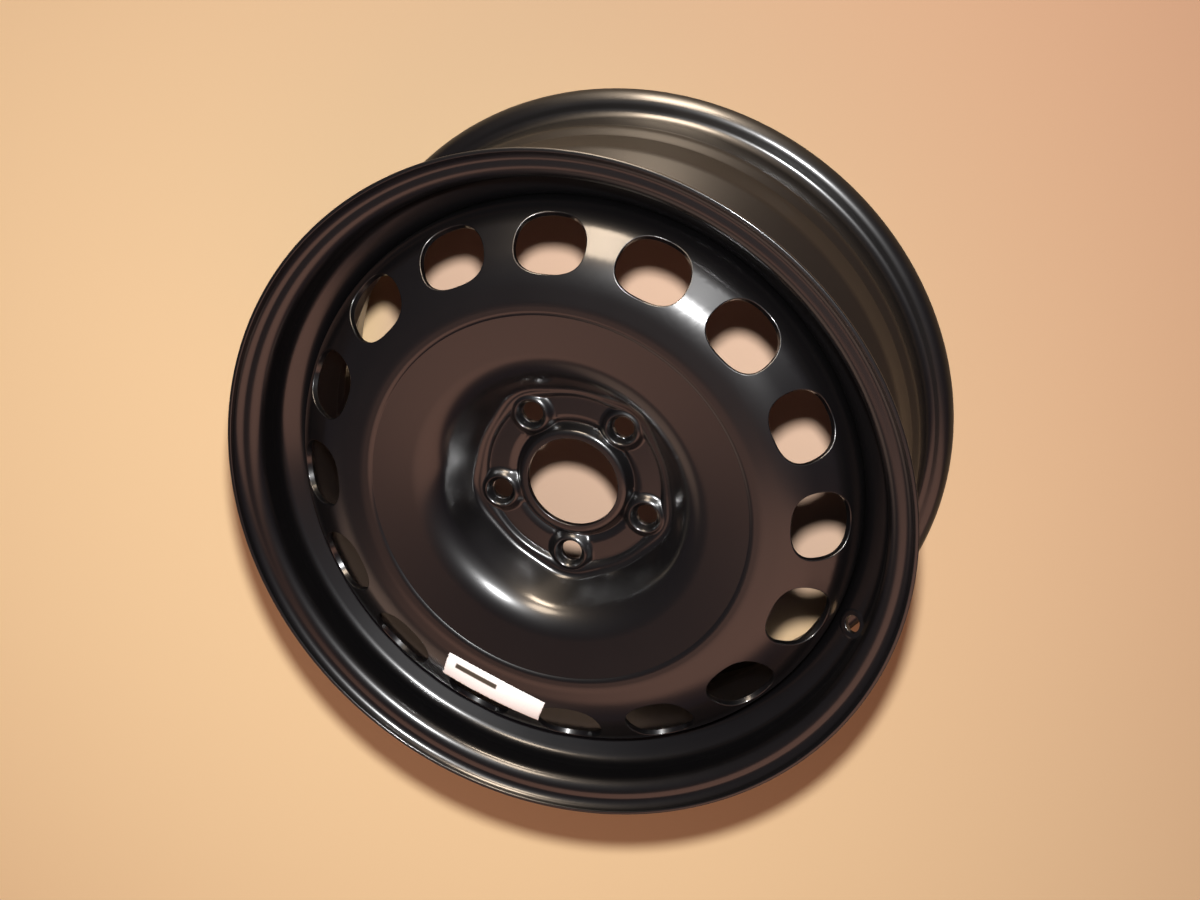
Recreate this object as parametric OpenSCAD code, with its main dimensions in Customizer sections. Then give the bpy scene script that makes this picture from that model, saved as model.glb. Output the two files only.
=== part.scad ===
// Stamped steel road wheel: a rolled rim, a pressed disc welded into its well, and a paper label.
// Millimetres. The wheel lies flat, +Z points outboard along its axis, and +X runs through the valve hole.
// The origin is the centre of the hub face that bolts to the car.

/* [Rim] */
// Diameter of the bead seats, where they meet the flange walls
seat_d = 436.6; // [426:0.1:446]
// Width between the two flange walls, on the tyre side
rim_w = 165.1; // [158:0.1:184]
// Thickness of the rolled rim sheet
rim_t = 2.8; // [2.4:0.1:3.4]
// Height of a flange above its bead seat
flange_h = 17.5; // [16.5:0.1:19]
// Reach of a flange lip beyond its wall
lip_l = 9.7; // [9.5:0.1:13]
// Bend radius of a flange lip, on the tyre side
lip_r = 9.5; // [7:0.1:9.5]
// Bend radius at the foot of a flange, on the tyre side
heel_r = 6.5; // [4:0.1:6.5]
// Length of a bead seat, from its flange wall
seat_l = 20; // [18:0.1:22]
// Slope of a bead seat
seat_a = 5; // [4:0.5:6]
// Height of the safety hump beside a bead seat
hump_h = 0.9; // [0.6:0.1:1.4]
// Length of the rise from a bead seat to its hump
hump_l = 4.2; // [3.5:0.1:6]
// Bend radius over a hump
hump_r = 4.5; // [3.5:0.1:5]

/* [Drop centre] */
// Depth of the well below the bead seats
well_h = 20.5; // [17:0.1:22]
// Angle of the well's front wall to the wheel's axis
well_a = 60; // [55:1:66]
// Bend radius at the foot of the well's front wall
well_r = 12; // [8:0.5:14]
// Height of the ramp behind the well
ramp_h = 11.6; // [9:0.1:13]
// Length of the ramp behind the well
ramp_l = 22; // [18:0.5:28]
// Bend radius at both ends of the ramp
ramp_r = 14; // [8:0.5:18]
// Rise of the ledge behind the ramp
ledge_h = 3; // [1:0.1:4]
// Length of the ledge behind the ramp
ledge_l = 20; // [16:0.5:24]
// Length of the last rise, from the ledge to the rear hump
rise_l = 8.6; // [7:0.1:12]

/* [Valve hole] */
// Diameter of the valve hole
valve_d = 11.4; // [10:0.1:16]
// Distance of the valve hole below the bead seat
valve_drop = 10.1; // [8:0.1:12]
// Diameter of the flattened ring around the valve hole
valve_pad_d = 20; // [18:0.5:22]
// Height of the flattened ring above the sheet
valve_pad_h = 0.4; // [0.1:0.1:0.8]

/* [Disc] */
// Offset of the hub face from the middle of the rim
offset_l = 43; // [38:0.5:46]
// Thickness of the pressed disc
disc_t = 4.2; // [3.6:0.1:4.8]
// Depth of the crown's ridge behind the front lip
crown_back = 2.4; // [0.5:0.1:6]
// Radial width of the crown, from its ridge to the shoulder
crown_w = 23.5; // [20:0.5:27]
// Height of the small step inside the ridge
crown_step = 0.8; // [0.3:0.1:1.4]
// Radial length of that step
crown_step_l = 4.5; // [3.5:0.5:7]
// Radial width of the bowl's mouth, from the steep wall to the flat dish
mouth_w = 23; // [19:0.5:28]
// Slope of the flat dish
dish_a = 4.5; // [2:0.5:7]
// Radial run of the bowl's steep wall
wall_run = 8.5; // [6.5:0.5:12]
// Slope of the bowl's mouth
mouth_a = 13; // [9:0.5:18]
// Bend radius between the bowl's mouth and its wall
bowl_bend_r = 15; // [10:0.5:16]
// Radial width of the vented ring, from the shoulder to the skirt
vent_ring_w = 33.4; // [31:0.1:36]
// Slope of the ring between ridge and shoulder
shoulder_a = 6; // [4:0.5:9]
// Slope of the vented ring
vent_a = 33; // [28:0.5:36]
// Bend radius between the vented ring and the skirt
skirt_r = 25; // [18:0.5:26]
// Length of the skirt's seat in the well
skirt_l = 26; // [18:0.5:28]

/* [Vents] */
// Number of vents
vent_n = 16; // [10:1:17]
// Width of a vent around the disc
vent_w = 46.5; // [42:0.1:47]
// Length of a vent along the slope
vent_l = 39; // [30:0.1:40]
// Distance of the vents' middle inside the skirt
vent_in = 20.1; // [18:0.1:23]

/* [Hub] */
// Diameter of the centre bore
bore_d = 63.4; // [56:0.1:66]
// Width of the raised collar around the bore
collar_w = 7.8; // [6:0.1:8.5]
// Height of the collar above the bolt ring
collar_h = 5; // [3:0.1:6]
// Diameter of the bolt circle
pcd = 108; // [106:0.1:112]
// Number of wheel bolts
bolt_n = 5; // [4:1:5]
// Diameter of a bolt hole
bolt_d = 14.5; // [13:0.1:16]
// Mouth diameter of a bolt's conical seat
cone_d = 21.6; // [20:0.1:23]
// Half angle of a bolt's conical seat
cone_a = 30; // [30:0.5:35]
// Height of a bolt boss above the bolt ring
boss_h = 4; // [3:0.1:5]
// Diameter of a bolt boss at its foot
boss_d = 33; // [30:0.5:35]
// Width of the flat rim around a bolt's seat
boss_rim = 1.4; // [0.8:0.1:2]
// Half width of the flat bolt ring, outwards from the bolt circle
ring_w = 7.5; // [6:0.1:8]
// Height of the ledge around the bolt ring
hub_ledge_h = 3.3; // [2:0.1:4]
// Width of the ledge around the bolt ring
hub_ledge_w = 6; // [4:0.1:7]
// Diameter of the room for a bolt's head, where it bites into the bowl's wall
pocket_d = 37.4; // [36:0.1:38]

/* [Welds] */
// Number of weld beads behind the disc
weld_n = 8; // [4:1:12]
// Angle that each weld bead covers
weld_a = 26; // [10:1:28]
// Leg length of a weld bead
weld_l = 4; // [2.5:0.1:4.2]
// Swell of a weld bead's face, as a share of its leg
weld_swell = 0.72; // [0.6:0.01:0.8]

/* [Label] */
// Length of the label around the disc
label_w = 75; // [60:1:80]
// Height of the label across the disc
label_h = 24; // [18:0.5:26]
// Thickness of the label
label_t = 0.3; // [0.2:0.05:0.5]
// Distance of the label's middle inside the shoulder
label_in = 2.5; // [0:0.5:7]
// Place of the label around the disc, from the valve hole
label_a = 273; // [0:1:359]
// Turn of the label on the disc
label_turn = -4.5; // [-10:0.5:10]

/* [Hidden] */
$fn = 180;
// Largest turn of one flat step in a bend
bend_step = 12;
// Overshoot of a cutting shape past the metal
past = 20;
paint = [0.045, 0.042, 0.043];
weld_paint = [0.07, 0.066, 0.066];
paper = [0.93, 0.91, 0.88];

// Places along the wheel's axis
rim_mid_z = -offset_l;
front_wall_z = rim_mid_z + rim_w / 2;
rear_wall_z = rim_mid_z - rim_w / 2;
lip_z = front_wall_z + lip_l;
rear_lip_z = rear_wall_z - lip_l;

// Radii at the middle of the rim sheet
seat_mid_r = (seat_d - rim_t) / 2;
lip_mid_r = seat_mid_r + flange_h;
seat_end_r = seat_mid_r - seat_l * tan(seat_a);
hump_mid_r = seat_end_r + hump_h;
well_mid_r = seat_mid_r - well_h;
ramp_top_r = well_mid_r + ramp_h;
// Radius of the well's inner face, which the disc's skirt fits
well_in_r = well_mid_r - rim_t / 2;

// Places of the rim's corners along the axis
front_hump_z = front_wall_z - seat_l - hump_l;
rear_hump_z = rear_wall_z + seat_l + hump_l;
well_front_z = front_hump_z - (hump_mid_r - well_mid_r) / tan(well_a);
ledge_z = rear_hump_z + rise_l;
ramp_top_z = ledge_z + ledge_l;
ramp_foot_z = ramp_top_z + ramp_l;
// Place where the well's floor begins, past the bend at the foot of its front wall
well_floor_z = well_front_z - well_r * tan(well_a / 2);

// Corners of the rim sheet's middle from the front lip to the rear lip: radius, height, bend radius
rim_path = [
    [lip_mid_r, lip_z, 0],
    [lip_mid_r, front_wall_z + rim_t / 2, lip_r - rim_t / 2],
    [seat_mid_r, front_wall_z + rim_t / 2, heel_r + rim_t / 2],
    [seat_end_r, front_wall_z - seat_l, hump_r],
    [hump_mid_r, front_hump_z, hump_r],
    [well_mid_r, well_front_z, well_r],
    [well_mid_r, ramp_foot_z, ramp_r],
    [ramp_top_r, ramp_top_z, ramp_r],
    [ramp_top_r + ledge_h, ledge_z, hump_r],
    [hump_mid_r, rear_hump_z, hump_r],
    [seat_end_r, rear_wall_z + seat_l, hump_r],
    [seat_mid_r, rear_wall_z - rim_t / 2, heel_r + rim_t / 2],
    [lip_mid_r, rear_wall_z - rim_t / 2, lip_r - rim_t / 2],
    [lip_mid_r, rear_lip_z, 0]
];

// Middle of the valve hole on the sloping front wall of the well
valve_r = seat_mid_r + rim_t / 2 - valve_drop;
valve_z = front_hump_z - (hump_mid_r - valve_r) / tan(well_a);

// Bend radii of the disc's tight and gentle bends, at the middle of its sheet
hub_bend_r = 2.6;
crown_bend_r = 24;
shoulder_bend_r = 55;
mouth_bend_r = 40;
// Radial length of the slopes beside the collar and beside the bolt ring
collar_run = 3.5;
ledge_run = 3;

// Radii of the disc's corners at the middle of its sheet, from the hub outwards
bolt_r = pcd / 2;
collar_r = bore_d / 2 + collar_w;
ring_r = bolt_r + ring_w;
hub_ledge_r = ring_r + ledge_run;
wall_foot_r = hub_ledge_r + hub_ledge_w;
bowl_r = wall_foot_r + wall_run;
mouth_r = bowl_r + mouth_w;

// Radii of the disc's corners at the middle of its sheet, from the skirt inwards
skirt_mid_r = well_in_r - disc_t / 2;
vent_r = skirt_mid_r - vent_in;
shoulder_r = skirt_mid_r - vent_ring_w;
label_r = shoulder_r - label_in;
crown_r = shoulder_r - crown_w;

// Heights of the disc's corners
ring_z = disc_t / 2;
hub_ledge_z = ring_z + hub_ledge_h;
crown_z = lip_z - crown_back - disc_t / 2;
step_r = crown_r - crown_step_l;
step_z = crown_z - crown_step;
mouth_z = step_z - (step_r - mouth_r) * tan(dish_a);
bowl_z = mouth_z - (mouth_r - bowl_r) * tan(mouth_a);
shoulder_z = crown_z - (shoulder_r - crown_r) * tan(shoulder_a);
skirt_z = shoulder_z - (skirt_mid_r - shoulder_r) * tan(vent_a);
vent_z = shoulder_z - (vent_r - shoulder_r) * tan(vent_a);
skirt_end_z = well_floor_z - skirt_l;

// Corners of the disc sheet's middle from the bore to the skirt's edge: radius, height, bend radius
disc_path = [
    [bore_d / 2, ring_z + collar_h, 0],
    [collar_r, ring_z + collar_h, hub_bend_r],
    [collar_r + collar_run, ring_z, hub_bend_r],
    [ring_r, ring_z, hub_bend_r],
    [hub_ledge_r, hub_ledge_z, hub_bend_r],
    [wall_foot_r, hub_ledge_z, hub_bend_r],
    [bowl_r, bowl_z, bowl_bend_r],
    [mouth_r, mouth_z, mouth_bend_r],
    [step_r, step_z, crown_bend_r / 2],
    [crown_r, crown_z, crown_bend_r],
    [shoulder_r, shoulder_z, shoulder_bend_r],
    [skirt_mid_r, skirt_z, skirt_r],
    [skirt_mid_r, skirt_end_z, 0]
];

// Bolt seat: the boss stands on the sheet, and a groove behind it leaves the seat a wall of its own
seat_wall = 3;
boss_top_z = disc_t + boss_h;
boss_top_r = cone_d / 2 + boss_rim;
cone_foot_z = boss_top_z - (cone_d - bolt_d) / 2 / tan(cone_a);
groove_in_r = bolt_d / 2 + seat_wall;
groove_w = 4;
groove_h = 2.4;

// Lean of the bowl's wall outwards per millimetre of height
wall_lean = wall_run / (bowl_z - hub_ledge_z);
// Height over which a bolt's room bites into the wall
pocket_l = 14;

// A corner's point, without its bend radius
function spot(corner) = [corner[0], corner[1]];

// Unit direction from point a to point b
function way(a, b) = (b - a) / norm(b - a);

// Direction v turned a quarter turn to the left
function left(v) = [-v[1], v[0]];

// Direction v turned by an angle
function spin(v, angle) = [
    v[0] * cos(angle) - v[1] * sin(angle),
    v[0] * sin(angle) + v[1] * cos(angle)
];

// Signed angle from direction v to direction w
function turn(v, w) = atan2(v[0] * w[1] - v[1] * w[0], v * w);

// Points round one bend, at a distance to the left of the sheet's middle
function bend(p, v, w, r, shift) =
    let(
        angle = turn(v, w),
        side = sign(angle),
        centre = p - v * r * tan(abs(angle) / 2) + side * r * left(v),
        steps = max(1, ceil(abs(angle) / bend_step))
    )
    [for (i = [0 : steps]) centre - (side * r - shift) * spin(left(v), angle * i / steps)];

// One face of a bent sheet: its path carried to the left by a distance
function sheet_face(path, shift) =
    let(
        last = len(path) - 1,
        ways = [for (i = [0 : last - 1]) way(spot(path[i]), spot(path[i + 1]))]
    )
    concat(
        [spot(path[0]) + shift * left(ways[0])],
        [for (i = [1 : last - 1]) each bend(spot(path[i]), ways[i - 1], ways[i], path[i][2], shift)],
        [spot(path[last]) + shift * left(ways[last - 1])]
    );

// A list in the opposite order
function backwards(list) = [for (i = [len(list) - 1 : -1 : 0]) list[i]];

// Outline of a bent sheet of one thickness
function sheet(path, thickness) = concat(
    sheet_face(path, thickness / 2),
    backwards(sheet_face(path, -thickness / 2))
);

// The disc's front face, and its part between two radii
disc_front = sheet_face(disc_path, disc_t / 2);
function front_height(r) = lookup(r, disc_front);
function front_between(r1, r2) = concat(
    [[r1, front_height(r1)]],
    [for (p = disc_front) if (p[0] > r1 && p[0] < r2) p],
    [[r2, front_height(r2)]]
);

// Places its children at equal angles round the wheel
module around(count) {
    for (i = [0 : count - 1])
        rotate([0, 0, 360 / count * i])
            children();
}

// Moves its children to the valve hole, with their Z square to the sloping wall
module at_valve() {
    translate([valve_r, 0, valve_z])
        rotate([0, well_a - 90, 0])
            children();
}

// Rolled rim with its drop centre, two humps and the valve hole
module rim() {
    color(paint)
        difference() {
            union() {
                rotate_extrude()
                    polygon(sheet(rim_path, rim_t));
                at_valve()
                    cylinder(d = valve_pad_d, h = rim_t + 2 * valve_pad_h, center = true);
            }
            at_valve()
                cylinder(d = valve_d, h = past, center = true);
        }
}

// One vent: a slot with round ends, cut square to the vented ring
module vent() {
    translate([vent_r, 0, vent_z])
        rotate([0, vent_a, 0])
            linear_extrude(height = 2 * past, center = true)
                union() {
                    square([vent_l, vent_w - vent_l], center = true);
                    for (side = [-1, 1])
                        translate([0, side * (vent_w - vent_l) / 2])
                            circle(d = vent_l);
                }
}

// One boss on the bolt circle, standing on the sheet
module bolt_boss() {
    translate([bolt_r, 0, ring_z])
        rotate([0, 0, 90])
            cylinder(d1 = boss_d, r2 = boss_top_r, h = boss_top_z - ring_z);
}

// Part of the wall's ring that lies in one bolt's room: a wedge of the given width from the wall outwards
module wall_bite(radius, low, in_r, width) {
    intersection() {
        translate([bolt_r, 0, low])
            cylinder(r = radius, h = pocket_l);
        rotate_extrude()
            polygon([
                [in_r, low],
                [in_r + width, low],
                [in_r + width + wall_lean * pocket_l, low + pocket_l],
                [in_r + wall_lean * pocket_l, low + pocket_l]
            ]);
    }
}

// Metal pushed back behind the wall by one bolt's room
module pocket_back() {
    wall_bite(pocket_d / 2 + disc_t, hub_ledge_z - disc_t / 2, wall_foot_r, pocket_d / 2);
}

// Room that one bolt's head takes out of the front of the wall
module pocket() {
    wall_bite(pocket_d / 2, hub_ledge_z + disc_t / 2, wall_foot_r - disc_t, pocket_d / 2);
}

// The cuts of one bolt seat: through hole, cone for the bolt's head and the groove behind
module bolt_seat() {
    translate([bolt_r, 0, 0]) {
        translate([0, 0, -past])
            cylinder(d = bolt_d, h = 2 * past);
        translate([0, 0, cone_foot_z])
            cylinder(d1 = bolt_d, r2 = bolt_d / 2 + past * tan(cone_a), h = past);
        rotate_extrude()
            translate([groove_in_r, -past])
                square([groove_w, past + groove_h]);
    }
}

// Pressed disc with its hub, bowl, crown, vented ring and skirt
module disc() {
    color(paint)
        difference() {
            union() {
                rotate_extrude()
                    polygon(sheet(disc_path, disc_t));
                around(bolt_n) {
                    bolt_boss();
                    pocket_back();
                }
            }
            around(bolt_n) {
                bolt_seat();
                pocket();
            }
            around(vent_n)
                vent();
            translate([0, 0, -past])
                cylinder(d = bore_d, h = 3 * past);
        }
}

// Weld beads in the corner between the skirt's edge and the floor of the well
module weld_beads() {
    color(weld_paint)
        around(weld_n)
            rotate_extrude(angle = weld_a)
                polygon([
                    [well_in_r, skirt_end_z],
                    [well_in_r - weld_l, skirt_end_z],
                    [well_in_r - weld_l * weld_swell, skirt_end_z - weld_l * weld_swell],
                    [well_in_r, skirt_end_z - weld_l]
                ]);
}

// Paper label that follows the disc's front face
module label() {
    in_r = label_r - label_h;
    out_r = label_r + label_h;
    under = front_between(in_r, out_r);
    color(paper)
        intersection() {
            rotate([0, 0, label_a - label_w / 2])
                rotate_extrude(angle = label_w)
                    polygon(concat(under, backwards([for (p = under) p + [0, label_t]])));
            rotate([0, 0, label_a])
                translate([label_r, 0, lip_z])
                    rotate([0, 0, label_turn])
                        cube([label_h, label_w, 4 * past], center = true);
        }
}

rim();
disc();
weld_beads();
label();
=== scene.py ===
"""Looks of a stamped steel road wheel: its rolled rim, pressed disc, weld beads and paper label.

Sizes are millimetres in the classes and metres in the meshes. The wheel's axis is Z, +Z points outboard,
and +X runs through the valve hole.
"""
from __future__ import annotations

import logging
import math
from dataclasses import dataclass, field, replace
from enum import Enum
from typing import Sequence

import bmesh
import bpy
import numpy as np
from mathutils import Matrix, Vector


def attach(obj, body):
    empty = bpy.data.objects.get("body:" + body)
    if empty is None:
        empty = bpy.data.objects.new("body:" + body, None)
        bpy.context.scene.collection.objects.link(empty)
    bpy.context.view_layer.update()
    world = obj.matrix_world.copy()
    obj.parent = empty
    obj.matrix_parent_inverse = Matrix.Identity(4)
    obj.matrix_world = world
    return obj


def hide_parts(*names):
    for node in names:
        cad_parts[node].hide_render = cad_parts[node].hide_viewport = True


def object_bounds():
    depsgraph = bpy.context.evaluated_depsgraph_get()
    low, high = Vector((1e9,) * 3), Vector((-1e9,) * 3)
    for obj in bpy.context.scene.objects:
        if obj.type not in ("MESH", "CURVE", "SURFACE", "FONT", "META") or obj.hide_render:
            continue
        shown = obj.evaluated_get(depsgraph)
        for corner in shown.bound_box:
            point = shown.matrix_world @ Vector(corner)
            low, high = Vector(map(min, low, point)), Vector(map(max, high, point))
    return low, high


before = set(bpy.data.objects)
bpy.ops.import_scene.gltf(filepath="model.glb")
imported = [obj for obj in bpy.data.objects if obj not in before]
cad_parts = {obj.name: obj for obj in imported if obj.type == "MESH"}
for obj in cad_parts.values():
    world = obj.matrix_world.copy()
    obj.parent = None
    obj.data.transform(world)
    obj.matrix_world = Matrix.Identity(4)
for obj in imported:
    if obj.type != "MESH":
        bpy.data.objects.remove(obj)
CAD_BOX = [list(corner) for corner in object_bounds()]

Array = np.ndarray
Span = tuple[float, float]
Triple = tuple[float, float, float]
log = logging.getLogger("wheel")

MM = 0.001
FULL_TURN = 2.0 * math.pi
# Turn between two stations of a bend, and the steps that normals are measured with
STATION_TURN = math.radians(1.0)
STEP_ALONG = 0.02
STEP_ROUND = 1e-4
# Vertices closer than this are one vertex
WELD_GAP = 2e-6
# Added to a normal so that a point where the grid closes up still has one
TINY = 1e-9
# Rounds of substitution that find a swollen radius
SWELL_ROUNDS = 16
BODY = "root"


class Side(Enum):
    """A face of a bent sheet, by its sign along the left normal of the sheet's path."""

    LEFT = 1
    RIGHT = -1


@dataclass(frozen=True)
class Corner:
    """A corner of a sheet's path: radius, height and bend radius at the middle of the sheet."""

    r: float
    z: float
    bend: float = 0.0


@dataclass
class Patch:
    """A grid of surface points with their normals, both of shape (rows, columns, 3)."""

    points: Array
    normals: Array


def unit(vectors: Array) -> Array:
    """Vectors of length one along the last axis.

    Args:
        vectors: Any array of 3-D vectors.

    Returns:
        The vectors divided by their lengths.
    """
    return vectors / np.linalg.norm(vectors, axis=-1, keepdims=True)


def smooth_step(low: float, high: float, value: Array) -> Array:
    """A soft step from 0 at low to 1 at high: 3 t^2 - 2 t^3.

    Args:
        low: Value where the step starts.
        high: Value where the step ends.
        value: Where the step is read.

    Returns:
        The step's height at each value.
    """
    t = np.clip((value - low) / (high - low), 0.0, 1.0)
    return t * t * (3.0 - 2.0 * t)


def soft_max(a: Array, b: Array, blend: float) -> Array:
    """The larger of two heights, rounded where they cross over a band of the given height.

    Args:
        a: First height.
        b: Second height.
        blend: Height of the rounded band.

    Returns:
        The rounded maximum.
    """
    share = np.clip(0.5 + 0.5 * (a - b) / blend, 0.0, 1.0)
    return b + (a - b) * share + blend * share * (1.0 - share)


def soft_min(a: Array, b: Array, blend: float) -> Array:
    """The smaller of two heights, rounded where they cross."""
    return -soft_max(-a, -b, blend)


def polar(r: Array, angle: Array, z: Array) -> Array:
    """Points from radius, angle and height, stacked on a last axis of three."""
    r, angle, z = np.broadcast_arrays(r, angle, z)
    return np.stack([r * np.cos(angle), r * np.sin(angle), z], axis=-1)


@dataclass
class Section:
    """A bent sheet's section as dense stations along the middle of the sheet."""

    length: Array
    r: Array
    z: Array
    heading: Array
    thickness: float

    @classmethod
    def through(cls, corners: Sequence[Corner], thickness: float) -> Section:
        """Straight runs joined by round bends.

        A bend of radius q at a corner where the path turns by an angle starts q tan(angle / 2) before the
        corner. Its points lie q from a centre to the side it turns to, and its heading grows evenly.

        Args:
            corners: The path's corners in order.
            thickness: Thickness of the sheet.

        Returns:
            The section with its stations.
        """
        spots = np.array([(corner.r, corner.z) for corner in corners])
        runs = np.diff(spots, axis=0)
        headings = np.unwrap(np.arctan2(runs[:, 1], runs[:, 0]))
        points = [spots[:1]]
        angles = [headings[:1]]
        for corner, spot, before, after in zip(corners[1:-1], spots[1:-1], headings, headings[1:]):
            turn = after - before
            way = np.array([math.cos(before), math.sin(before)])
            left = np.array([-way[1], way[0]])
            reach = corner.bend * math.tan(abs(turn) / 2.0)
            centre = spot - way * reach + math.copysign(corner.bend, turn) * left
            bend = np.linspace(before, after, max(3, math.ceil(abs(turn) / STATION_TURN) + 1))
            spokes = np.column_stack([np.sin(bend), -np.cos(bend)])
            points.append(centre + math.copysign(corner.bend, turn) * spokes)
            angles.append(bend)
        points.append(spots[-1:])
        angles.append(headings[-1:])
        place = np.vstack(points)
        steps = np.linalg.norm(np.diff(place, axis=0), axis=1)
        length = np.concatenate([[0.0], np.cumsum(steps)])
        return cls(length, place[:, 0], place[:, 1], np.concatenate(angles), thickness)

    def at(self, s: Array, side: float) -> tuple[Array, Array]:
        """Radius and height at lengths along the path.

        Args:
            s: Lengths from the path's start.
            side: Sign of the face, or 0 for the middle of the sheet.

        Returns:
            Radii and heights, half a thickness along the normal from the middle.
        """
        heading = np.interp(s, self.length, self.heading)
        shift = side * self.thickness / 2.0
        r = np.interp(s, self.length, self.r) - shift * np.sin(heading)
        z = np.interp(s, self.length, self.z) + shift * np.cos(heading)
        return r, z

    def where(self, r: float) -> float:
        """Length at which the path first reaches a radius on its way outwards."""
        reached = int(np.argmax(self.r >= r))
        return float(np.interp(r, self.r[reached - 1 : reached + 1], self.length[reached - 1 : reached + 1]))

    def rows(self, start: float, end: float, count: int, turn_weight: float = 9.0) -> Array:
        """Lengths between two places, closer together where the sheet bends.

        Equal steps of a measure that grows with the length and with the turn of the path.

        Args:
            start: First length.
            end: Last length.
            count: Number of steps.
            turn_weight: Millimetres of straight run that one radian of turn is worth.

        Returns:
            count + 1 lengths from start to end.
        """
        turned = np.concatenate([[0.0], np.cumsum(np.abs(np.diff(self.heading)))])
        measure = self.length + turn_weight * turned
        first, last = np.interp([start, end], self.length, measure)
        rows = np.interp(np.linspace(first, last, count + 1), measure, self.length)
        rows[0], rows[-1] = start, end
        return rows


def frame_ring(rows: Array, columns: Array) -> tuple[Array, Array]:
    """The closed rim of a rectangular grid, walked once round.

    Args:
        rows: Lengths of the grid's rows.
        columns: Angles of the grid's columns.

    Returns:
        Lengths and angles of the rim's points, with the first repeated at the end.
    """
    low, high = np.full(len(columns), rows[0]), np.full(len(columns), rows[-1])
    first, last = np.full(len(rows), columns[0]), np.full(len(rows), columns[-1])
    s = np.concatenate([low[:-1], rows[:-1], high[:0:-1], rows[::-1]])
    a = np.concatenate([columns[:-1], last[:-1], columns[:0:-1], first])
    return s, a


@dataclass
class Sheet:
    """Base of the two pressed sheets: a skin over a section, with cut edges."""

    section: Section = field(init=False)
    shell: list[Patch] = field(init=False, default_factory=list)

    def point(self, s: Array, a: Array, side: float) -> Array:
        """Points of a face: the section's point turned round the axis by an angle.

        Args:
            s: Lengths along the section.
            a: Angles round the axis.
            side: Sign of the face, or 0 for the middle of the sheet.

        Returns:
            Points on the face.
        """
        r, z = self.section.at(s, side)
        return polar(r, a, z)

    def patch(self, s: Array, a: Array, side: float) -> Patch:
        """A patch of a face, with normals from the cross product of two central differences.

        Args:
            s: Lengths along the section, as a grid.
            a: Angles round the axis, as a grid.
            side: Sign of the face.

        Returns:
            The patch.
        """
        s, a = np.broadcast_arrays(s, a)
        along = self.point(s + STEP_ALONG, a, side) - self.point(s - STEP_ALONG, a, side)
        round_axis = self.point(s, a + STEP_ROUND, side) - self.point(s, a - STEP_ROUND, side)
        return Patch(self.point(s, a, side), unit(side * np.cross(along, round_axis)))

    def add_faces(self, s: Array, a: Array) -> None:
        """Adds the same grid on both faces of the sheet."""
        for side in Side:
            self.shell.append(self.patch(s, a, side.value))

    def add_edge(self, left: Patch, right: Patch, toward: Array, radius: float, steps: int = 4) -> None:
        """Adds a cut edge between two rows of points on the sheet's faces.

        Each face rolls into the cut over a quarter circle of the given radius, and the cut between the two
        quarter circles is flat.

        Args:
            left: One row on the left face.
            right: The same row on the right face.
            toward: Unit vectors along the sheet, out of its metal.
            radius: Radius of the rounded edges.
            steps: Steps in a quarter circle.
        """
        across = unit(left.points - right.points)
        toward = unit(toward - across * np.sum(toward * across, axis=-1, keepdims=True))
        turn = np.linspace(0.0, math.pi / 2.0, steps + 1)[:, None, None]
        out = radius * np.sin(turn) * toward
        sunk = radius * (1.0 - np.cos(turn)) * across
        points = np.concatenate([left.points + out - sunk, (right.points + out + sunk)[::-1]])
        tilt = np.cos(turn) * across
        lean = np.sin(turn) * toward
        normals = np.concatenate([lean + tilt, (lean - tilt)[::-1]])
        normals[0], normals[-1] = left.normals, right.normals
        self.shell.append(Patch(points, normals))

    def add_rim_edge(self, s: float, step: float, columns: Array, radius: float) -> None:
        """Adds the rounded edge where the sheet ends on a circle.

        Args:
            s: Length where the flat faces end.
            step: Small length past s that shows the way out of the metal.
            columns: Angles round the axis.
            radius: Radius of the rounded edge.
        """
        rows = np.full(len(columns), s)
        faces = [self.patch(rows, columns, side.value) for side in Side]
        toward = unit(self.point(rows, columns, 0.0) - self.point(rows - step, columns, 0.0))
        self.add_edge(faces[0], faces[1], toward, radius)


def weld_mesh(name: str, patches: Sequence[Patch]) -> bpy.types.Mesh:
    """A mesh from grid patches whose shared borders are merged.

    Each grid cell is a quad, wound so that its own normal agrees with the patch's normals. The patches'
    normals become the mesh's normals, so highlights run smoothly across the borders.

    Args:
        name: Name of the mesh.
        patches: The patches.

    Returns:
        The mesh, in metres.
    """
    points = np.concatenate([patch.points.reshape(-1, 3) for patch in patches]) * MM
    normals = np.concatenate([patch.normals.reshape(-1, 3) for patch in patches])
    quads = []
    base = 0
    for patch in patches:
        rows, columns = patch.points.shape[:2]
        index = base + np.arange(rows * columns).reshape(rows, columns)
        cells = [index[:-1, :-1], index[1:, :-1], index[1:, 1:], index[:-1, 1:]]
        quads.append(np.stack(cells, axis=-1).reshape(-1, 4))
        base += rows * columns
    faces = np.concatenate(quads)
    facing = np.cross(points[faces[:, 2]] - points[faces[:, 0]], points[faces[:, 3]] - points[faces[:, 1]])
    wrong = np.sum(facing * normals[faces].sum(axis=1), axis=1) < 0.0
    faces[wrong] = faces[wrong][:, ::-1]

    mesh = bpy.data.meshes.new(name)
    mesh.from_pydata(points.tolist(), [], faces.tolist(), shade_flat=False)
    lay = mesh.attributes.new("lay", "FLOAT_VECTOR", "POINT")
    lay.data.foreach_set("vector", normals.astype(np.float32).ravel())
    work = bmesh.new()
    work.from_mesh(mesh)
    bmesh.ops.remove_doubles(work, verts=work.verts, dist=WELD_GAP)
    work.to_mesh(mesh)
    work.free()
    merged = np.empty(len(mesh.vertices) * 3, np.float32)
    mesh.attributes["lay"].data.foreach_get("vector", merged)
    mesh.attributes.remove(mesh.attributes["lay"])
    mesh.normals_split_custom_set_from_vertices(unit(merged.reshape(-1, 3)).tolist())
    mesh.validate()
    return mesh


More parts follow.
